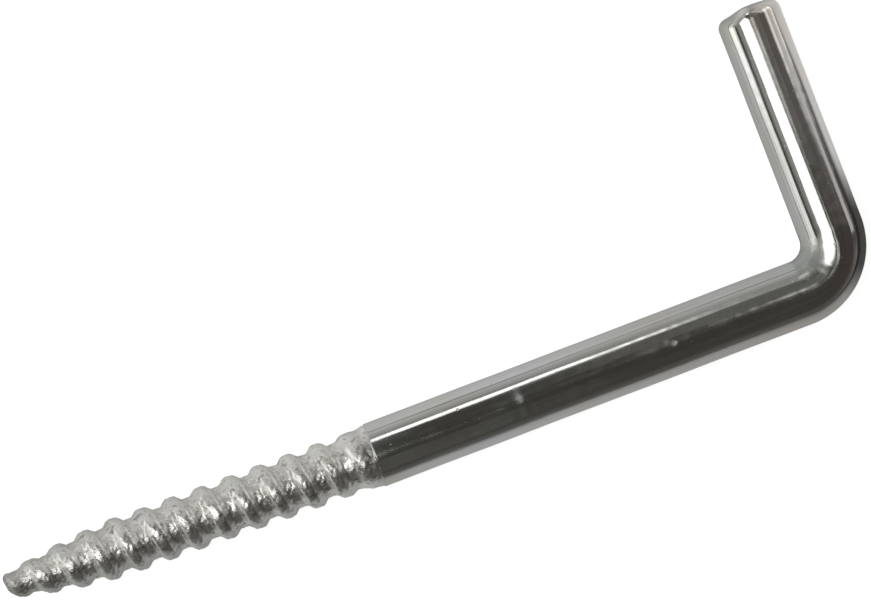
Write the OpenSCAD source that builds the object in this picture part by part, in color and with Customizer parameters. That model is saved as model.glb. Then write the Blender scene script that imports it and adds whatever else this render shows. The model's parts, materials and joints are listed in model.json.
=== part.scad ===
// Square-bend screw hook: one round steel rod with a wood thread cut on one end,
// bent once at a right angle and cut off square at the other end.
// It lies flat: the shank runs along X, the arm points to +Y, and the rod's underside is at Z = 0.

/* [Rod] */
// Diameter of the plain rod
rod_d = 5.7; // [4.5:0.1:7.5]
// Radius of the rounded edge at the arm's cut end
end_round = 1.3; // [0.2:0.1:2]

/* [Hook] */
// Length along the shank, from the tip to the outer face of the bend
overall_len = 80; // [62:1:120]
// Length along the arm, from the outer face of the bend to the cut end
arm_len = 27.5; // [18:0.5:60]
// Radius on the inside of the bend
bend_inner_r = 1.5; // [0.5:0.1:6]

/* [Thread] */
// Length of the threaded end, from the shoulder to the tip
thread_len = 33.6; // [20:0.1:50]
// Distance that one turn advances (single start, right-hand)
thread_pitch = 2.66; // [1.8:0.01:3.5]
// Depth of the groove below the crests
thread_depth = 0.5; // [0.3:0.05:1.2]
// How far the crests stay below the surface of the rod
crest_drop = 0.2; // [0.05:0.05:0.4]
// Width of the rounded crest, along the thread
crest_w = 0.6; // [0.2:0.05:0.9]
// Width of the floor of the groove, along the thread
root_w = 0.6; // [0.2:0.05:0.9]
// Length of the cone between the rod and the first crest
shoulder_len = 1.8; // [0.4:0.1:3]
// Length over which the groove runs out towards the shoulder
runout_len = 3.8; // [0.6:0.1:6]
// Angle at which the thread leaves the shoulder, in steps of the thread's sides
start_angle = 165; // [0:15:345]
// Angle by which the threaded end leans towards the arm
thread_lean = 1; // [0:0.1:1.5]

/* [Tip] */
// Length over which the thread tapers to the tip
taper_len = 10.3; // [4:0.1:14]
// Diameter over the last crest
tip_d = 2.25; // [1.6:0.05:4]
// Length of the rounded end of the tip
tip_round = 0.7; // [0.3:0.1:1.2]

/* [Hidden] */
$fn = 96;

rod_r = rod_d / 2;
bend_r = bend_inner_r + rod_r;           // radius of the bend's centre line
crest_r = rod_r - crest_drop;
shank_end_x = thread_len + rod_r - overall_len; // where the plain shank ends, from the corner of the axes
arm_end_y = arm_len - rod_r;

// The threaded end is a surface of rings across its axis, with the same sides on every ring.
sides = 24;
rings_per_turn = 12;
round_rings = 3;         // rings in the rounded end of the tip
seat_gap = 0.02;         // keeps the thread's first rings just inside the rod
seat_len = 0.4;          // how far the thread's root end reaches into the rod
taper_power = 1.5;       // how full the taper of the tip is
end_flat = 0.4;          // share of the tip's radius that its end face keeps
ring_step = thread_pitch / rings_per_turn;
body_len = thread_len - tip_round;
body_rings = floor(body_len / ring_step);
round_steps = [for (i = [1 : round_rings]) 90 * i / round_rings];

// Distances of the rings from the shoulder, towards the tip
ring_at = concat(
    [-seat_len],
    [for (i = [0 : body_rings]) i * ring_step],
    [for (a = round_steps) body_len + tip_round * sin(a)]
);

function smooth(t) = let (c = min(max(t, 0), 1)) c * c * (3 - 2 * c);

// Scale of the whole thread form, 1 along the body and smaller towards the tip
function taper(at) =
    let (t = max(0, (at - thread_len + taper_len) / taper_len))
    1 - (1 - tip_d / (2 * crest_r)) * pow(t, taper_power);

// Quarter-round fall to the end face of the tip
function round_off(at) =
    let (t = min(max((at - body_len) / tip_round, 0), 1))
    end_flat + (1 - end_flat) * sqrt(1 - t * t);

// 1 on a crest and 0 on the groove's floor, with smooth flanks between them
function ridge(at, angle) =
    let (
        turns = (at / thread_pitch) - (angle + start_angle) / 360,
        from_crest = abs(turns - round(turns)) * thread_pitch,
        flank_w = (thread_pitch - crest_w - root_w) / 2
    )
    1 - smooth((from_crest - crest_w / 2) / flank_w);

// Radius over the crests: the shoulder's cone, then the body
function crest_at(at) =
    let (t = min(max(at / shoulder_len, 0), 1))
    (rod_r - seat_gap) * (1 - t) + crest_r * t;

function thread_radius(at, angle) =
    let (depth = thread_depth * smooth(at / runout_len) * (1 - ridge(at, angle)))
    (crest_at(at) - depth) * taper(at) * round_off(at);

module threaded_end() {
    rings = len(ring_at);
    points = [
        for (at = ring_at, j = [0 : sides - 1])
            let (angle = 360 * j / sides, r = thread_radius(at, angle))
            [r * cos(angle), r * sin(angle), at]
    ];
    start_cap = [for (j = [0 : sides - 1]) j];
    tip_cap = [for (j = [sides - 1 : -1 : 0]) (rings - 1) * sides + j];
    // each quad is split along the way the crests run
    skin = [
        for (i = [0 : rings - 2], j = [0 : sides - 1], half = [0, 1])
            let (
                k = (j + 1) % sides,
                low = i * sides,
                high = low + sides
            )
            half == 0 ? [low + j, high + j, high + k] : [low + j, high + k, low + k]
    ];
    polyhedron(points = points, faces = concat([start_cap, tip_cap], skin));
}

// The rod's cut end, with a rounded edge, standing on Z = 0
module cut_end() {
    rotate_extrude() {
        square([rod_r - end_round, end_round]);
        intersection() {
            translate([rod_r - end_round, 0]) circle(end_round);
            square([rod_r, end_round]);
        }
    }
}

module shank() {
    translate([-bend_r, 0, 0]) rotate([0, -90, 0])
        cylinder(h = -bend_r - shank_end_x, r = rod_r);
}

module bend() {
    translate([-bend_r, bend_r, 0]) rotate([0, 0, -90])
        rotate_extrude(angle = 90) translate([bend_r, 0]) circle(rod_r);
}

module arm() {
    translate([0, bend_r, 0]) rotate([-90, 0, 0])
        cylinder(h = arm_end_y - end_round - bend_r, r = rod_r);
    translate([0, arm_end_y - end_round, 0]) rotate([-90, 0, 0]) cut_end();
}

// Modelled from the point where the shank's and the arm's axes cross, then laid on its side
// with the middle of its box over the origin.
module screw_hook() {
    color("silver")
    translate([(overall_len - rod_d) / 2, (rod_d - arm_len) / 2, rod_r]) {
        shank();
        bend();
        arm();
        translate([shank_end_x, 0, 0]) rotate([0, 0, -thread_lean]) rotate([0, -90, 0])
            threaded_end();
    }
}

screw_hook();
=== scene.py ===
# A square-bend screw hook of zinc-plated steel, lying on a pale floor.
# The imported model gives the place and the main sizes. The visible steel is one tube of rings,
# carried from the tip along the thread, the shank, the bend and the arm to the cut end.
# The settings are in mm and degrees, unless a note says otherwise.
import json
import math

import bpy
import numpy as np
from mathutils import Matrix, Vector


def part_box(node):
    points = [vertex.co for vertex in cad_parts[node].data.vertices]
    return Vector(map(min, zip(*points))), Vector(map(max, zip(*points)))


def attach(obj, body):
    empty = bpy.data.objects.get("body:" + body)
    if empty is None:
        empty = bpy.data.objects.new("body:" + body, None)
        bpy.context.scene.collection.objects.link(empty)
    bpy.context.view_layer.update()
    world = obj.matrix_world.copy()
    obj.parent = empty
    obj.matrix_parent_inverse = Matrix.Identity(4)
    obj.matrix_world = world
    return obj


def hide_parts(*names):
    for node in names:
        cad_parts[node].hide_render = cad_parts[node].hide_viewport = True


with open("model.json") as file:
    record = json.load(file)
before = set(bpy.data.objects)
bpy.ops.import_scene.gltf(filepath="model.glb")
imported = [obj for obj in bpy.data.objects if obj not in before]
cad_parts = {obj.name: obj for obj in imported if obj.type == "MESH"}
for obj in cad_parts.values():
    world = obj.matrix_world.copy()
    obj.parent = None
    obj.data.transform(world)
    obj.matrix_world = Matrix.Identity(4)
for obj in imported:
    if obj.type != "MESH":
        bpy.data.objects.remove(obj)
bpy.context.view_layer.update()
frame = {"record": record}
mm = 0.001
mounts = {m["name"]: m for m in frame["record"]["mounts"]}
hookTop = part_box("screw_hook")[1]

rod = {
    "radius": mounts["shank"]["dims"]["r_mm"],
    "sides": 120,
    "ringStep": 0.32,
    "edgeRings": (0.04, 0.12),  # extra rings just behind the edge of the plain rod
    "markReach": 0.9,  # the rings are three times as close this near to a dent
}
thread = {
    "pitch": 2.66,
    "depth": 0.5,
    "crestRadius": mounts["thread"]["dims"]["r_mm"],
    "crestWidth": 0.6,
    "rootWidth": 0.6,
    "crestDome": 0.02,
    "wear": 0.075,  # the thread is worn a little thinner away from the shoulder
    "wearStart": 6,
    "wearReach": 10,
    "shoulder": 1.8,
    "edgeDrop": 0.07,  # broken edge at the end of the plain rod
    "edgeLength": 0.12,
    "runout": 3.8,
    "startAngle": 165,
    "litFlankPhase": 0.3,  # in turns from a crest, where the tipward flank's painted highlight is strongest
    "taperLength": 10.3,
    "taperPower": 1.5,
    "tipDiameter": 2.25,
    "tipRound": 0.7,
    "endFlat": 0.4,
    "ringsPerTurn": 34,
    "tipRings": 12,  # in the rounded end
    "faceRings": 7,  # across the tip's face
    "tipDrift": 0.12,  # how far the tip is off the axis
    "driftLength": 7,
    "tipSlant": 9,
    "slantLength": 1.6,
    "tipDull": 2.2,  # length of the duller end of the tip
    "tipDullness": 0.8,
    "finishStart": 0.3,  # depth over which the rod's finish turns into the thread's
    "faceHole": 0.08,  # share of the tip's radius inside the last ring, which is closed on its middle
    "facePattern": 0.45,  # length that the pattern runs across the tip's face
    # how much of the flanks' painted highlight the tip's face gets
    "faceLitFlank": 0.3,
}
bend = {
    "rings": 61,
    "crestShift": 0.3,  # how far the top is drawn outward, half way round
    "dullness": 0.4,
    "dullEnds": 0.12,  # share of the bend over which the dull patch fades in and out
    "dullSide": 0.3,  # sine of the angle from the top where the patch starts, in the second half
    "dullFade": 0.25,
    "earlyEnd": 0.42,  # up to this share of the bend the patch starts at the top
    "earlyFade": 0.2,
    "darkEnd": 0.6,  # the patch has painted shade up to this share
    "darkFade": 0.25,
}
arm = {
    "lean": 0.4,  # the bend is closed by this many degrees more than a right angle
    "endRound": 0.95,
    "endRings": 12,  # in the rounded edge, and as many across the face
    "faceHole": 0.08,  # radius of the last ring, which is closed on its middle
    "cutStart": 0.375,  # share of the edge's rise where the bare cut starts
    "endSkew": 0.5,
    "cornerWear": 0.34,  # how far the end's inner corner is worn back
    "cornerFade": 0.7,  # in radii of the rod, from its middle
    "skewLength": 6,
    "skewFade": 3,
    "edgeHighlightAngle": 0.2,  # in radians from the top: where the rounded edge gets its painted highlight, and how wide
    "edgeHighlightWidth": 0.3,
    "edgeHighlightRise": 0.4,  # share of the edge's rise over which its painted highlight turns on
    "edgeHighlightFace": (0.85, 0.15),  # share of the face's radius where the painted highlight starts, and over how much
}
# height, seed of the draw, number of waves, their lengths along the rod, and their most turns round it
ripples = {
    "waviness": {"height": 0.005, "seed": 3, "waves": 16, "lengths": (7, 30), "turns": 2},
    "drawnLines": {"height": 0.0009, "seed": 5, "waves": 40, "lengths": (18, 70), "turns": 28},
    "skin": {"height": 0.0009, "seed": 8, "waves": 60, "lengths": (0.9, 3.5), "turns": 12},
    "dieMarks": {"height": 0.012, "seed": 11, "waves": 70, "lengths": (0.45, 1.6), "turns": 20},
    "crestWear": {"height": 0.0175, "seed": 13, "waves": 40, "lengths": (1.2, 5), "turns": 9},
    "creases": {"height": 0.006, "seed": 17, "waves": 12, "lengths": (0.7, 1.5), "turns": 2},
    "endDish": {"height": 0.04, "seed": 19, "waves": 9, "lengths": (1.5, 4), "turns": 3},
}
# dents: distance from the shoulder, angle from the top, half lengths along and across, depth,
# and how dull it is
marks = [
    {"at": 13.2, "angle": 9, "long": 0.33, "wide": 0.62, "deep": 0.011, "scuff": 0.6},
    {"at": 27.3, "angle": -2, "long": 0.26, "wide": 0.24, "deep": 0.015, "scuff": 0.6},
    {"at": 26.8, "angle": 7, "long": 0.3, "wide": 0.3, "deep": 0.004, "scuff": 0.3},
]
# painted shade on top, just behind the end of the plain rod, where it darkens the edge's highlight: distance
# from the shoulder towards the tip, half length, angle from the top, and how narrow it is round the rod
bevelShadeSpot = {"depth": 0.62, "long": 0.48, "angle": 4, "narrow": 17.6}


def smooth(t):
    # 3t^2 - 2t^3, held at 0 below 0 and at 1 above 1
    t = np.clip(t, 0, 1)
    return t * t * (3 - 2 * t)


def ripple(name, along, angle):
    # a sum of cosines of random phase: each has a length along the rod between the two lengths and
    # winds round it a whole number of times, up to turns either way; its mean square is 1
    kind = ripples[name]
    draw = np.random.default_rng(kind["seed"])
    shortest, longest = kind["lengths"]
    total = 0
    for length in np.exp(draw.uniform(math.log(shortest), math.log(longest), kind["waves"])):
        winding = draw.integers(-kind["turns"], kind["turns"] + 1) * angle
        total = total + np.cos(2 * math.pi * along / length + winding + draw.uniform(0, 6.3))
    return total / math.sqrt(kind["waves"] / 2)


def bendPlace():
    # the radius of the bend's centre line and the middle that it turns about
    shank, straight = mounts["shank"]["pos_m"], mounts["arm"]["pos_m"]
    armStart = straight[1] / mm - mounts["arm"]["dims"]["length_mm"] / 2
    radius = armStart - shank[1] / mm
    return radius, np.array([straight[0] / mm - radius, armStart, shank[2] / mm])


def hookPath():
    # centre line from the tip to the cut end: centres, sideways directions towards the arm's side,
    # depth into the thread (0 beyond the shoulder), distance from the shoulder, and share of the bend;
    # then the direction of the arm
    shoulder = np.array(mounts["thread"]["pos_m"]) / mm
    tipward = np.array(mounts["thread"]["axis"])
    tipward /= np.linalg.norm(tipward)
    threadLength = mounts["thread"]["dims"]["length_mm"]
    bendRadius, middle = bendPlace()
    body = threadLength - thread["tipRound"]
    rounding = body + thread["tipRound"] * np.sin(np.linspace(math.pi / 2, 0, thread["tipRings"]))
    depth = np.concatenate([rounding, np.arange(body, 0, -thread["pitch"] / thread["ringsPerTurn"])[1:]])
    centre = shoulder + depth[:, None] * tipward
    drift = np.clip(1 - (threadLength - depth) / thread["driftLength"], 0, 1) ** 2
    centre[:, 1] += thread["tipDrift"] * drift
    side = np.tile(np.cross([0, 0, 1], -tipward), (len(depth), 1))
    parts = [(centre, side, depth, -depth, 0 * depth)]

    step = rod["ringStep"]
    reach = np.arange(0, middle[0] - shoulder[0], step)
    near = reach[np.abs(reach[:, None] - [m["at"] for m in marks]).min(1) < rod["markReach"]]
    reach = np.sort(np.concatenate([reach, rod["edgeRings"], near + step / 3, near + 2 * step / 3]))
    zero = 0 * reach
    shankY, axisZ = middle[1] - bendRadius, middle[2]
    centre = np.stack([shoulder[0] + reach, zero + shankY, zero + axisZ], 1)
    parts.append((centre, np.tile([0, 1, 0], (len(reach), 1)), zero, reach, zero))

    turn = np.linspace(0, math.radians(90 + arm["lean"]), bend["rings"])
    out = np.stack([np.sin(turn), -np.cos(turn), 0 * turn], 1)
    bent = mounts["shank"]["dims"]["length_mm"] + bendRadius * turn
    parts.append((middle + bendRadius * out, -out, 0 * turn, bent, turn / turn[-1]))

    armLength = hookTop.y / mm - arm["endRound"] - middle[1]
    reach = np.append(np.arange(step, armLength, step), armLength)
    ahead = np.array([-math.sin(math.radians(arm["lean"])), math.cos(math.radians(arm["lean"])), 0])
    centre = parts[-1][0][-1] + reach[:, None] * ahead
    parts.append((centre, np.tile(-out[-1], (len(reach), 1)), 0 * reach, bent[-1] + reach, 0 * reach))
    return [np.concatenate(c) for c in zip(*parts)] + [ahead]


def threadRadius(depth, angle):
    # the radius over the crests, which falls from the rod's in a broken edge and a slight cone,
    # less the groove between the crest lines that wind once a pitch, times the tip's taper and rounding
    length = mounts["thread"]["dims"]["length_mm"]
    crest = thread["crestRadius"]
    turns = depth / thread["pitch"] - (angle + math.radians(thread["startAngle"])) / (2 * math.pi)
    fromCrest = np.abs(turns - np.round(turns)) * thread["pitch"]
    slope = (thread["pitch"] - thread["crestWidth"] - thread["rootWidth"]) / 2
    groove = smooth((fromCrest - thread["crestWidth"] / 2) / slope) * smooth(depth / thread["runout"])
    cone = np.clip(depth / thread["shoulder"], 0, 1)
    over = rod["radius"] * (1 - cone) + crest * cone
    over = over - thread["edgeDrop"] * smooth(depth / thread["edgeLength"]) * (1 - cone)
    over = over - thread["wear"] * smooth((depth - thread["wearStart"]) / thread["wearReach"])
    dome = np.clip(2 * fromCrest / thread["crestWidth"], 0, 1) ** 2
    over = over - thread["crestDome"] * dome * (depth > 0)
    tipward = np.clip((depth - length + thread["taperLength"]) / thread["taperLength"], 0, 1)
    taper = 1 - (1 - thread["tipDiameter"] / (2 * crest)) * tipward ** thread["taperPower"]
    ending = np.clip((depth - length + thread["tipRound"]) / thread["tipRound"], 0, 1)
    rounding = thread["endFlat"] + (1 - thread["endFlat"]) * np.sqrt(1 - ending**2)
    # where the painted highlight goes: 1 on the tipward flanks, 0 on the others
    litFlank = 0.5 + 0.5 * np.cos(2 * math.pi * (turns - thread["litFlankPhase"]))
    return (over - thread["depth"] * groove) * taper * rounding, groove, litFlank


def dented(radius, along, angle):
    # small dents: a depth times a bell curve along and across; and how dull each point is
    scuff = 0 * radius
    for mark in marks:
        fromMark = np.mod(angle - math.radians(mark["angle"]) + math.pi, 2 * math.pi) - math.pi
        across = fromMark * rod["radius"] / mark["wide"]
        bell = np.exp(-(((along - mark["at"]) / mark["long"]) ** 2) - across**2)
        radius = radius - mark["deep"] * bell
        scuff = np.maximum(scuff, mark["scuff"] * bell)
    return radius, scuff


def dullAndShadedPart(bending, angle):
    # the steel is dull where the bend is squeezed on its inner side, and further up in its first half; there
    # the colour also has painted shade
    within = smooth(bending / bend["dullEnds"]) * smooth((1 - bending) / bend["dullEnds"])
    early = 1 - smooth((bending - bend["earlyEnd"]) / bend["earlyFade"])
    return within * smooth((np.sin(angle) - bend["dullSide"] * (1 - early)) / bend["dullFade"])


def hookSurface():
    # rings across the centre line, each at the radius of the rod or the thread plus its bumps, less its
    # dents; then both end faces, the small shifts of whole rings, and the values that the material uses
    centres, sideways, depth, along, bending, ahead = hookPath()
    angle = np.linspace(0, 2 * math.pi, rod["sides"], endpoint=False)[None, :]
    depth, along, bending = depth[:, None], along[:, None], bending[:, None]
    onThread = smooth(depth / thread["finishStart"])
    radius, groove, litFlank = threadRadius(depth, angle)
    radius = np.where(depth > 0, radius, rod["radius"])
    groove = np.where(depth > 0, groove, 0)

    def bumps(name):
        return ripples[name]["height"] * ripple(name, along, angle)

    # the rod's slow waviness, its drawn ridges and the plating's lumps
    radius = radius + (1 - onThread) * (bumps("waviness") + bumps("drawnLines")) + bumps("skin")
    # the thread's rough flanks, and crests worn unevenly along their line, by three heights at most
    worn = ripples["crestWear"]["height"] * np.clip(ripple("crestWear", along, angle), 0, 3)
    radius = radius + onThread * (bumps("dieMarks") - (1 - groove) * worn)
    # the bend is creased on its inner side
    bent = np.sin(math.pi * bending) ** 2
    radius = radius + bent * np.clip(np.sin(angle), 0, 1) * bumps("creases")
    radius, scuff = dented(radius, along, angle)
    dullAndShaded = dullAndShadedPart(bending, angle)
    scuff = np.maximum(scuff, bend["dullness"] * dullAndShaded)
    # the patch's painted shade fades out after the dark end
    dullAndShaded = dullAndShaded * (1 - smooth((bending - bend["darkEnd"]) / bend["darkFade"]))
    # painted shade on top: a bell curve along and round the thread's start
    bevelShade = np.exp(-(((depth - bevelShadeSpot["depth"]) / bevelShadeSpot["long"]) ** 2))
    bevelShade = bevelShade * np.exp(bevelShadeSpot["narrow"] * (np.cos(angle - math.radians(bevelShadeSpot["angle"])) - 1))

    # the cut end: a quarter round, then rings across the face
    fall = np.linspace(0, math.pi / 2, arm["endRings"])[1:]
    flat = rod["radius"] - arm["endRound"]
    across = np.linspace(flat, arm["faceHole"], arm["endRings"])[1:]
    share = np.concatenate([flat + arm["endRound"] * np.cos(fall), across])[:, None] / rod["radius"]
    rise = np.concatenate([arm["endRound"] * np.sin(fall), 0 * across + arm["endRound"]])[:, None]
    turned = rise / arm["endRound"]
    # the zinc is worn over the thread, whose flanks carry a painted highlight, and a painted highlight lies
    # on top of the end's rounded edge
    faceStart, faceFade = arm["edgeHighlightFace"]
    edgeHighlight = smooth(turned / arm["edgeHighlightRise"]) * smooth((share * rod["radius"] / flat - faceStart) / faceFade)
    edgeHighlight = edgeHighlight * np.exp(-(((angle - arm["edgeHighlightAngle"]) / arm["edgeHighlightWidth"]) ** 2))
    dulled = smooth((depth - depth.max()) / thread["tipDull"] + 1)
    # the tip's face, from its middle outward
    inner = np.linspace(thread["faceHole"], 1, thread["faceRings"])[:-1, None]

    def capped(body, tip=0, end=0):
        # a value on the rings of the rod, after its value on the tip's face and before that on the cut end
        stretches = (tip, len(inner)), (body, len(along)), (end, len(share))
        return np.concatenate([np.broadcast_to(value, (count, rod["sides"])) for value, count in stretches])

    beforeTip = along[0] - (1 - inner) * thread["facePattern"]
    run = capped(along, beforeTip, along[-1] + rise + (1 - share) * rod["radius"])
    radius = capped(radius, radius[0] * inner, radius[-1] * share)
    bare = smooth((turned - arm["cutStart"]) / (1 - arm["cutStart"]))
    cut = capped(thread["tipDullness"] * dulled, 1, bare)
    fields = {
        "groove": capped(groove, groove[0]),
        "scuff": capped(scuff),
        "bevelShade": capped(bevelShade),
        "dullAndShaded": capped(dullAndShaded),
        "wornAndHighlight": capped(onThread, 1, edgeHighlight),
        "litFlank": capped(litFlank, thread["faceLitFlank"], 1),
        "onThread": capped(onThread, 1),
        "cutFace": cut,
    }
    tipFace = np.tile(centres[0], (len(inner), 1))
    centres = np.concatenate([tipFace, centres, centres[-1] + rise * ahead])
    first, last = np.tile(sideways[0], (len(inner), 1)), np.tile(sideways[-1], (len(share), 1))
    sideways = np.concatenate([first, sideways, last])[:, None, :]
    facing = np.cos(angle)[:, :, None] * np.array([0, 0, 1.0]) + np.sin(angle)[:, :, None] * sideways
    points = centres[:, None, :] + radius[:, :, None] * facing
    # the top of the bend is drawn outward, most half way round: a length times cos^2 of the angle
    outward = bend["crestShift"] * capped(bent) * np.cos(angle) ** 2
    points = points - outward[:, :, None] * sideways
    # the end faces are cut a little askew: they move along the rod with the distance to one side
    offside = radius * np.sin(angle)
    corner = arm["cornerWear"] * smooth(offside / rod["radius"] / arm["cornerFade"])
    askew = math.tan(math.radians(arm["endSkew"])) * offside - corner
    points[:, :, 1] += askew * smooth((run - run[-1, 0] + arm["skewLength"]) / arm["skewFade"])
    dish = 0.5 * ripples["endDish"]["height"] * (1 + ripple("endDish", run, angle))
    points[:, :, 1] -= dish * cut * (run > 0) * (1 - smooth(radius / flat - 0.5))
    slanted = smooth((along.min() - run) / thread["slantLength"] + 1)
    points[:, :, 0] -= math.tan(math.radians(thread["tipSlant"])) * offside * slanted
    # place on the unrolled rod, for the patterns of the material
    straight = rod["radius"] * np.cos(angle) + 0 * run, rod["radius"] * np.sin(angle) + 0 * run, run
    fields["rodSpace"] = np.stack(straight, -1)
    return points * mm, fields


def gridMesh(name, points, fields):
    # points is rings x sides x 3, wrapped round the sides; each end is closed on its middle point
    rings, sides = points.shape[:2]
    i, j = np.meshgrid(np.arange(rings - 1), np.arange(sides), indexing="ij")
    k = (j + 1) % sides
    low, high = i * sides, (i + 1) * sides
    quads = np.stack([low + j, high + j, high + k, low + k], -1).reshape(-1, 4)
    j = np.arange(sides)
    k = (j + 1) % sides
    first = np.stack([np.full(sides, rings * sides), j, k], -1)
    last = np.stack([np.full(sides, rings * sides + 1), (rings - 1) * sides + k, (rings - 1) * sides + j], -1)

    def withEnds(values):
        flat = values.reshape(rings * sides, -1)
        middles = [values[end].reshape(sides, -1).mean(0)[None] for end in (0, -1)]
        return np.concatenate([flat, *middles])

    mesh = bpy.data.meshes.new(name)
    mesh.from_pydata(withEnds(points), [], quads.tolist() + first.tolist() + last.tolist())
    mesh.polygons.foreach_set("use_smooth", np.ones(len(mesh.polygons), bool))
    for key, values in fields.items():
        vector = values.ndim == 3
        layer = mesh.attributes.new(key, "FLOAT_VECTOR" if vector else "FLOAT", "POINT")
        layer.data.foreach_set("vector" if vector else "value", withEnds(values).ravel().astype(np.float32))
    piece = bpy.data.objects.new(name, mesh)
    bpy.context.scene.collection.objects.link(piece)
    return piece


def nodeIn(tree, kind, inputs=(), **settings):
    # a new node: settings are its own fields, inputs are numbers, colours or another node's output
    node = tree.nodes.new("ShaderNode" + kind)
    for key, value in settings.items():
        setattr(node, key, value)
    for key, value in dict(inputs).items():
        if isinstance(value, bpy.types.NodeSocket):
            tree.links.new(value, node.inputs[key])
        else:
            node.inputs[key].default_value = value
    return node


def reckon(tree, operation, first, second=0.0, third=0.0):
    return nodeIn(tree, "Math", {0: first, 1: second, 2: third}, operation=operation).outputs[0]


def ranged(tree, value, low, high, start=0.0, end=1.0):
    # value taken from low..high to start..end, and held there outside
    ends = {"Value": value, "From Min": low, "From Max": high, "To Min": start, "To Max": end}
    return nodeIn(tree, "MapRange", ends).outputs[0]


def mixed(tree, share, first, second, blend="MIX"):
    node = nodeIn(tree, "Mix", {0: share, 6: first, 7: second}, data_type="RGBA", blend_type=blend)
    return node.outputs[2]


steel = {
    "colours": {
        "coolZinc": (0.60, 0.605, 0.60, 1),
        "oliveZinc": (0.575, 0.565, 0.53, 1),
        # painted light on the thread: a shaded copy, and a lit copy for the tipward flanks' painted highlight
        "crestZinc": (0.66, 0.65, 0.62, 1),
        "flankZinc": (0.95, 0.945, 0.905, 1),
        # painted shade for the bend's squeezed patch
        "squeezedZinc": (0.445, 0.462, 0.435, 1),
        "warmSide": (1.035, 0.995, 0.975, 1),
        "greenSide": (0.985, 1.0, 0.98, 1),
        # painted shade in the grooves, and the colour of dirt in blotches and pits
        "grooveDirt": (0.32, 0.285, 0.245, 1),
        "cutSteel": (0.46, 0.45, 0.44, 1),
        # painted shade over the top of the plain rod's end
        "bevelShade": (0.05, 0.046, 0.04, 1),
    },
    # noises: a stretch under 1 draws one out along the rod
    "patterns": {
        "fineLines": {"scale": 5.5, "detail": 3, "stretch": 0.02},
        "broadLines": {"scale": 1.3, "detail": 2, "stretch": 0.035},
        "streaks": {"scale": 2.2, "detail": 3, "stretch": 0.09},
        "clouds": {"scale": 0.13, "detail": 2},
        "patches": {"scale": 0.5, "detail": 3},
        "grain": {"scale": 9, "detail": 2},
        "speckle": {"scale": 2.4, "detail": 3},
        "blotches": {"scale": 1.9, "detail": 3},
        "coarse": {"scale": 2.8, "detail": 4, "roughness": 0.6},
    },
    "pitScale": 0.9,
    # the values that a pattern or a place runs between, and what it turns them into
    "ranges": {
        "pits": (0.05, 0.11, 1, 0),
        "clouds": (0.38, 0.62),
        "sides": (-0.9, 1.2),  # from the hook's outer side to its inner side
        "farShank": (27, 35),
        "lines": (0.75, 1.25, 0.9, 1.05),
        # painted shade in spots in the grooves; dirt in blotches on the thread
        "dirtyGroove": (0.45, 1),
        "dirtySpots": (0.42, 0.62, 0.0, 0.4),
        "dirtyBlotches": (0.57, 0.68, 0.0, 0.75),
        # how much of the worn zinc and its painted highlight shows
        "wornAndHighlight": (0.3, 0.7, 0.6, 1.0),
        # how the painted shade over the plain rod's end is spread
        "stained": (0.35, 0.55, 0.55, 1.0),
        "lineRoughness": (0.3, 0.7, 0.065, 0.14),
        "patchRoughness": (0.52, 0.75, 0.0, 0.05),
        "streakRoughness": (0.5, 0.72, 0.0, 0.05),
        "threadRoughness": (0.3, 0.7, 0.07, 0.29),
    },
    # how much of each is added where it is full
    # painted shade in the bend's squeezed patch
    "bendShadeColour": 0.9,
    "bareColour": 0.7,
    "pitColour": 0.35,
    "cutRoughness": 0.2,
    "pitRoughness": 0.2,
    "scuffRoughness": 0.4,
    "lineRelief": 0.0022,
    "grainRelief": 0.0006,
    "coarseRelief": 0.045,
    "pitRelief": -0.004,
}


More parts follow.
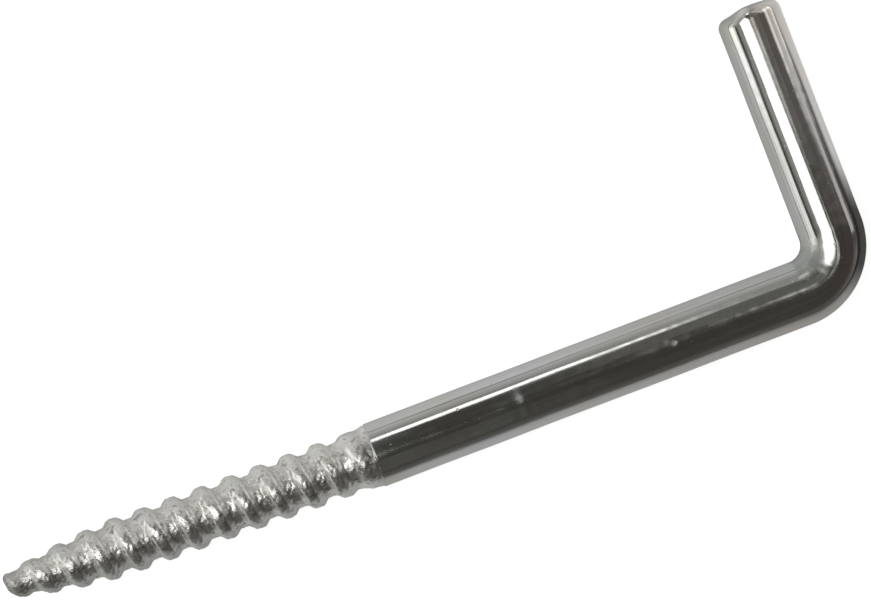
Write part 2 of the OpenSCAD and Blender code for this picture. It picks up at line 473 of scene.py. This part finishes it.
def steelMaterial():
    material = bpy.data.materials.new("zincPlatedSteel")
    material.use_nodes = True
    tree = material.node_tree
    shader = tree.nodes["Principled BSDF"]
    colours = steel["colours"]

    def field(name, output="Fac"):
        return nodeIn(tree, "Attribute", attribute_name=name).outputs[output]

    space = field("rodSpace", "Vector")

    def noise(name):
        pattern = steel["patterns"][name]
        vector = space
        if "stretch" in pattern:
            drawn = {0: space, 1: (1, 1, pattern["stretch"])}
            vector = nodeIn(tree, "VectorMath", drawn, operation="MULTIPLY").outputs[0]
        inputs = {"Vector": vector, "Scale": pattern["scale"], "Detail": pattern["detail"]}
        inputs["Roughness"] = pattern.get("roughness", 0.5)
        return nodeIn(tree, "TexNoise", inputs).outputs["Fac"]

    def times(first, second):
        return reckon(tree, "MULTIPLY", first, second)

    def plus(first, second):
        return reckon(tree, "ADD", first, second)

    def spread(value, name):
        return ranged(tree, value, *steel["ranges"][name])

    def added(total, value, name):
        # total plus the value times the setting of that name
        return reckon(tree, "MULTIPLY_ADD", value, steel[name], total)

    groove, onThread, cutFace, scuff = field("groove"), field("onThread"), field("cutFace"), field("scuff")
    bevelShade, dullAndShaded, wornAndHighlight, litFlank = field("bevelShade"), field("dullAndShaded"), field("wornAndHighlight"), field("litFlank")
    fineLines, broadLines, speckle = noise("fineLines"), noise("broadLines"), noise("speckle")
    plain = reckon(tree, "SUBTRACT", 1.0, onThread)
    pits = nodeIn(tree, "TexVoronoi", {"Vector": space, "Scale": steel["pitScale"]}).outputs["Distance"]
    pits = spread(pits, "pits")

    # colour: cool and olive zinc in clouds
    colour = mixed(tree, spread(noise("clouds"), "clouds"), colours["coolZinc"], colours["oliveZinc"])
    # past the middle of the shank it turns warmer on the hook's outer side and greener on its inner side
    place = nodeIn(tree, "SeparateXYZ", {0: space}).outputs
    sided = mixed(tree, spread(place["Y"], "sides"), colours["warmSide"], colours["greenSide"])
    sided = mixed(tree, 1.0, colour, sided, "MULTIPLY")
    colour = mixed(tree, spread(place["Z"], "farShank"), colour, sided)
    # painted shade in the bend's squeezed patch
    colour = mixed(tree, times(dullAndShaded, steel["bendShadeColour"]), colour, colours["squeezedZinc"])
    # darker lines along the plain rod
    lined = plus(times(spread(plus(fineLines, broadLines), "lines"), plain), onThread)
    tone = nodeIn(tree, "CombineColor", {0: lined, 1: lined, 2: lined}).outputs[0]
    colour = mixed(tree, 1.0, colour, tone, "MULTIPLY")
    # worn zinc on the thread, painted as a lit copy on the tipward flanks and a shaded copy elsewhere, with
    # painted shade in spots in its grooves and dirt in blotches
    paintedFlankLight = mixed(tree, litFlank, colours["crestZinc"], colours["flankZinc"])
    colour = mixed(tree, times(wornAndHighlight, spread(speckle, "wornAndHighlight")), colour, paintedFlankLight)
    # painted shade in the grooves, in spots
    grooveShade = times(spread(groove, "dirtyGroove"), spread(speckle, "dirtySpots"))
    blotches = times(onThread, spread(noise("blotches"), "dirtyBlotches"))
    colour = mixed(tree, reckon(tree, "MAXIMUM", grooveShade, blotches), colour, colours["grooveDirt"])
    # bare steel on the cut, less where the edge has its painted highlight
    full = steel["bareColour"]
    bare = reckon(tree, "MULTIPLY_ADD", reckon(tree, "SUBTRACT", wornAndHighlight, onThread), -full, full)
    colour = mixed(tree, times(cutFace, bare), colour, colours["cutSteel"])
    # painted shade over the top of the plain rod's end
    colour = mixed(tree, times(bevelShade, spread(speckle, "stained")), colour, colours["bevelShade"])
    colour = mixed(tree, times(pits, steel["pitColour"]), colour, colours["grooveDirt"])

    # roughness: lines, patches and streaks on the rod, more on the thread, the cut, the pits and the scuffs
    rough = plus(spread(broadLines, "lineRoughness"), spread(noise("patches"), "patchRoughness"))
    rough = plus(rough, spread(noise("streaks"), "streakRoughness"))
    rough = plus(rough, times(onThread, spread(speckle, "threadRoughness")))
    rough = added(rough, cutFace, "cutRoughness")
    rough = added(rough, pits, "pitRoughness")
    rough = added(rough, scuff, "scuffRoughness")

    # relief in mm: drawn lines, the plating's grain, and a coarser grain on the thread and the cut
    relief = times(fineLines, times(plain, steel["lineRelief"]))
    relief = added(relief, noise("grain"), "grainRelief")
    coarse = times(reckon(tree, "MAXIMUM", onThread, cutFace), steel["coarseRelief"])
    relief = plus(relief, times(noise("coarse"), coarse))
    relief = added(relief, pits, "pitRelief")
    bump = nodeIn(tree, "Bump", {"Strength": 1.0, "Distance": mm, "Height": relief}).outputs[0]

    tree.links.new(colour, shader.inputs["Base Color"])
    tree.links.new(rough, shader.inputs["Roughness"])
    tree.links.new(bump, shader.inputs["Normal"])
    shader.inputs["Metallic"].default_value = 1.0
    shader.inputs["Specular Tint"].default_value = (0.8, 0.8, 0.8, 1)
    return material


points, fields = hookSurface()
hook = gridMesh("screw_hook_steel", points, fields)
hook.data.materials.append(steelMaterial())
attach(hook, "root")
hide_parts("screw_hook")
print("hook", sum(len(p.vertices) - 2 for p in hook.data.polygons), "triangles")

view = {
    "centre": (3.218, -0.298),
    "width": 74.806,
    "turn": -20.745,
    "lean": (-2.0, 2.0),  # towards +X and +Y
    "distance": 1.8,  # in metres
}
# aim is the tilt from straight up and the azimuth that it tilts towards (0 is +X, 90 is +Y); distance,
# size and centre are in metres, with the width along the tilt; spin turns a lamp in its own plane
lamps = {
    "overheadBox": {
        "aim": (22.7, 176.4), "spin": -45, "distance": 3.0, "size": (1.95, 1.44), "radiance": 2.2,
    },
    "leftStrip": {
        "aim": (83, 180), "distance": 1.0, "size": (0.28, 0.8), "radiance": 0.8, "centre": (0, -0.3),
    },
    "leftTipStrip": {
        "aim": (76, 180), "distance": 0.15, "size": (0.05, 0.1), "radiance": 0.8, "centre": (0, 0.05),
    },
    "bendCard": {
        "aim": (0, -34), "distance": 0.15, "size": (0.027, 0.006), "radiance": 1.1,
        "centre": (0.0532, -0.0184),
    },
    "leftCard": {
        "aim": (60, 180), "distance": 0.139, "size": (0.04, 0.05), "radiance": 1.15,
        "centre": (-0.025, 0.005),
    },
    "rightStrip": {
        "aim": (73, 0), "distance": 0.15, "size": (0.036, 0.13), "radiance": 0.56, "centre": (0.03, 0.037),
    },
    "rightEndStrip": {
        "aim": (73, 0), "distance": 0.15, "size": (0.09, 0.1), "radiance": 1.08, "centre": (0.03, 0.0525),
    },
    "rightSky": {
        "aim": (40, 0), "distance": 0.5, "size": (0.5, 0.4), "radiance": 0.08, "centre": (0.03, 0.18),
    },
    "backStrip": {
        "aim": (51.5, 90), "distance": 0.25, "size": (0.048, 0.034), "radiance": 1.85, "centre": (0.013, 0),
    },
    "backSky": {"aim": (68, 90), "distance": 1.5, "size": (1.2, 0.9), "radiance": 0.28},
    "bendSky": {
        "aim": (30, 90), "distance": 0.3, "size": (0.17, 0.2), "radiance": 0.1, "centre": (0.125, 0),
    },
    "armSky": {
        "aim": (5, 0), "distance": 0.15, "size": (0.024, 0.028), "radiance": 0.8, "centre": (0.037, 0.013),
    },
    "armHaze": {
        "aim": (16, 0), "distance": 0.15, "size": (0.08, 0.05), "radiance": 0.06, "centre": (0.037, 0.02),
    },
    "threadSky": {
        "aim": (45, 90), "distance": 0.15, "size": (0.36, 0.256), "radiance": 0.315, "centre": (-0.137, 0),
    },
    "rightFill": {"aim": (68, 42), "distance": 0.5, "size": (0.45, 0.45), "radiance": 0.52},
    "leftFill": {
        "aim": (62, 140), "distance": 0.15, "size": (0.14, 0.14), "radiance": 0.12, "centre": (-0.1, 0),
    },
    "frontCard": {
        "aim": (44, 270), "distance": 0.5, "size": (0.4, 0.55), "radiance": 0.05, "centre": (-0.25, 0),
    },
}


def makeCamera():
    # it stands over the hook, leaning a little, and keeps the long side of its view turned from the shank
    data = bpy.data.cameras.new("camera")
    data.lens = data.sensor_width * view["distance"] / (view["width"] * mm)
    data.clip_start, data.clip_end = 0.01, 50
    camera = bpy.data.objects.new("camera", data)
    back = np.array([math.sin(math.radians(a)) for a in view["lean"]] + [1.0])
    back /= np.linalg.norm(back)
    turn = math.radians(view["turn"])
    right = np.cross([-math.sin(turn), math.cos(turn), 0], back)
    right /= np.linalg.norm(right)
    target = np.array([*view["centre"], rod["radius"]]) * mm
    axes = np.stack([right, np.cross(back, right), back], 1)
    place = Matrix.Translation((target + back * view["distance"]).tolist())
    camera.matrix_world = place @ Matrix(axes.tolist()).to_4x4()
    bpy.context.scene.collection.objects.link(camera)
    bpy.context.scene.camera = camera


def makeLamps():
    for name, lamp in lamps.items():
        width, length = lamp["size"]
        data = bpy.data.lights.new(name, "AREA")
        data.shape = "RECTANGLE"
        data.size, data.size_y = width, length
        data.energy = lamp["radiance"] * math.pi * width * length
        tilt, azimuth = [math.radians(a) for a in lamp["aim"]]
        flat = math.sin(tilt)
        outward = np.array([flat * math.cos(azimuth), flat * math.sin(azimuth), math.cos(tilt)])
        stand = bpy.data.objects.new(name, data)
        place = outward * lamp["distance"] + [*lamp.get("centre", (0, 0)), 0]
        aimed = Matrix.Rotation(azimuth, 4, "Z") @ Matrix.Rotation(tilt, 4, "Y")
        spun = Matrix.Rotation(math.radians(lamp.get("spin", 0)), 4, "Z")
        stand.matrix_world = Matrix.Translation(place.tolist()) @ aimed @ spun
        stand.visible_camera = False
        bpy.context.scene.collection.objects.link(stand)


# by the direction looked in: its X, Y or Z where a change starts and ends, and the values there
room = {
    "horizon": (0.0, 0.42, 1.0, 0.0),
    "front": (-0.9, 0.3, 0.08, 0.32),
    "pastArm": (0.9, 0.98, 1.0, 0.4),
    "dim": 0.07,
    "sides": (0.0, 0.6),  # from one tint to the other
    "tints": ((1, 0.98, 0.84, 1), (1, 0.88, 0.82, 1)),
    "horizonTint": (1, 1, 0.99, 1),
}


def makeWorld():
    # white to the camera; the metal sees a dim room that brightens towards the horizon and the +Y side,
    # less so straight past the arm
    world = bpy.data.worlds.new("studio")
    world.use_nodes = True
    bpy.context.scene.world = world
    tree = world.node_tree
    split = nodeIn(tree, "SeparateXYZ", {0: nodeIn(tree, "TexCoord").outputs["Generated"]}).outputs
    sky = ranged(tree, split["Z"], *room["horizon"])
    glow = reckon(tree, "MULTIPLY_ADD", sky, ranged(tree, split["Y"], *room["front"]), room["dim"])
    glow = reckon(tree, "MULTIPLY", glow, ranged(tree, split["X"], *room["pastArm"]))
    seen = nodeIn(tree, "LightPath").outputs["Is Camera Ray"]
    back = tree.nodes["Background"]
    tint = mixed(tree, ranged(tree, split["X"], *room["sides"]), *room["tints"])
    tint = mixed(tree, reckon(tree, "MAXIMUM", seen, sky), tint, room["horizonTint"])
    tree.links.new(tint, back.inputs["Color"])
    tree.links.new(reckon(tree, "MAXIMUM", seen, glow), back.inputs["Strength"])


floor = {
    "size": 3.0,  # half its width, in metres
    "paper": 0.5,
    "white": 0.86,  # its own glow towards the camera
    "near": 0.72,  # the pool's light by the hook
    "reach": 70,
    "side": (-30, 20, 0.8, 1.1),  # the pool from -Y to +Y
    "far": (-300, 100, 0.12, 0.34),
    # where the pool is brighter or darker: X and Y from none of it to all of it, and how far Y slants
    "patches": {
        "beyondArm": {"x": (38, 42), "y": (-15, -9.5), "slant": 0.2, "gain": 0.75},
        "underThread": {"x": (-3, -12), "y": (-9, -13), "slant": 0, "gain": -0.15},
        "pastArm": {"x": (50, 60), "y": (11, 5), "slant": 0, "gain": -0.6},
    },
    # the dark sector beyond the bend, by the X of the direction from the bend's middle, and by Y
    "sector": {"towards": (0.5, 0.83), "y": (-6, -2, 1, 0), "gain": -0.78},
}


def poolOfLight(tree, place):
    # near / (1 + (distance / reach)^2), never under the far floor's light, then the patches and the sector
    split = nodeIn(tree, "SeparateXYZ", {0: place}).outputs

    def along(value, ends):
        low, high, *values = ends
        return ranged(tree, value, low * mm, high * mm, *values)

    def patched(pool, first, second, gain):
        share = reckon(tree, "MULTIPLY", first, second)
        return reckon(tree, "MULTIPLY", pool, reckon(tree, "MULTIPLY_ADD", share, gain, 1.0))

    away = nodeIn(tree, "VectorMath", {0: place}, operation="LENGTH").outputs["Value"]
    away = reckon(tree, "DIVIDE", away, floor["reach"] * mm)
    pool = reckon(tree, "DIVIDE", floor["near"], reckon(tree, "MULTIPLY_ADD", away, away, 1.0))
    pool = reckon(tree, "MULTIPLY", pool, along(split["Y"], floor["side"]))
    pool = reckon(tree, "MAXIMUM", pool, along(split["Y"], floor["far"]))
    for patch in floor["patches"].values():
        slanted = reckon(tree, "MULTIPLY_ADD", split["X"], -patch["slant"], split["Y"])
        pool = patched(pool, along(split["X"], patch["x"]), along(slanted, patch["y"]), patch["gain"])
    middle = bendPlace()[1] * mm
    fromBend = nodeIn(tree, "VectorMath", {0: place, 1: (*middle[:2], 0)}, operation="SUBTRACT").outputs[0]
    fromBend = nodeIn(tree, "VectorMath", {0: fromBend}, operation="NORMALIZE").outputs[0]
    towards = nodeIn(tree, "SeparateXYZ", {0: fromBend}).outputs["X"]
    sector = floor["sector"]
    towards = ranged(tree, towards, *sector["towards"])
    return patched(pool, towards, along(split["Y"], sector["y"]), sector["gain"])


def makeFloor():
    # a pale sheet: white to the camera, and in the metal a pool of light that fades away from the hook
    size = floor["size"]
    mesh = bpy.data.meshes.new("floor")
    corners = [(-size, -size, 0), (size, -size, 0), (size, size, 0), (-size, size, 0)]
    mesh.from_pydata(corners, [], [(0, 1, 2, 3)])
    sheet = bpy.data.objects.new("floor", mesh)
    bpy.context.scene.collection.objects.link(sheet)
    material = bpy.data.materials.new("palePaper")
    material.use_nodes = True
    tree = material.node_tree
    shader = tree.nodes["Principled BSDF"]
    shader.inputs["Base Color"].default_value = (floor["paper"],) * 3 + (1,)
    shader.inputs["Roughness"].default_value = 1.0
    shader.inputs["Specular IOR Level"].default_value = 0.0
    path = nodeIn(tree, "LightPath").outputs
    mirrored = reckon(tree, "MAXIMUM", path["Is Glossy Ray"], path["Is Transmission Ray"])
    glow = reckon(tree, "MULTIPLY", path["Is Camera Ray"], floor["white"])
    shader.inputs["Emission Color"].default_value = (1, 1, 1, 1)
    tree.links.new(glow, shader.inputs["Emission Strength"])
    pool = poolOfLight(tree, nodeIn(tree, "TexCoord").outputs["Object"])
    reflected = nodeIn(tree, "Emission", {"Color": (1, 1, 1, 1), "Strength": pool}).outputs[0]
    both = nodeIn(tree, "MixShader", {0: mirrored, 1: shader.outputs[0], 2: reflected}).outputs[0]
    tree.links.new(both, tree.nodes["Material Output"].inputs["Surface"])
    mesh.materials.append(material)


makeCamera()
makeLamps()
makeWorld()
makeFloor()
bpy.context.scene.view_settings.view_transform = "Standard"
print("studio ready")
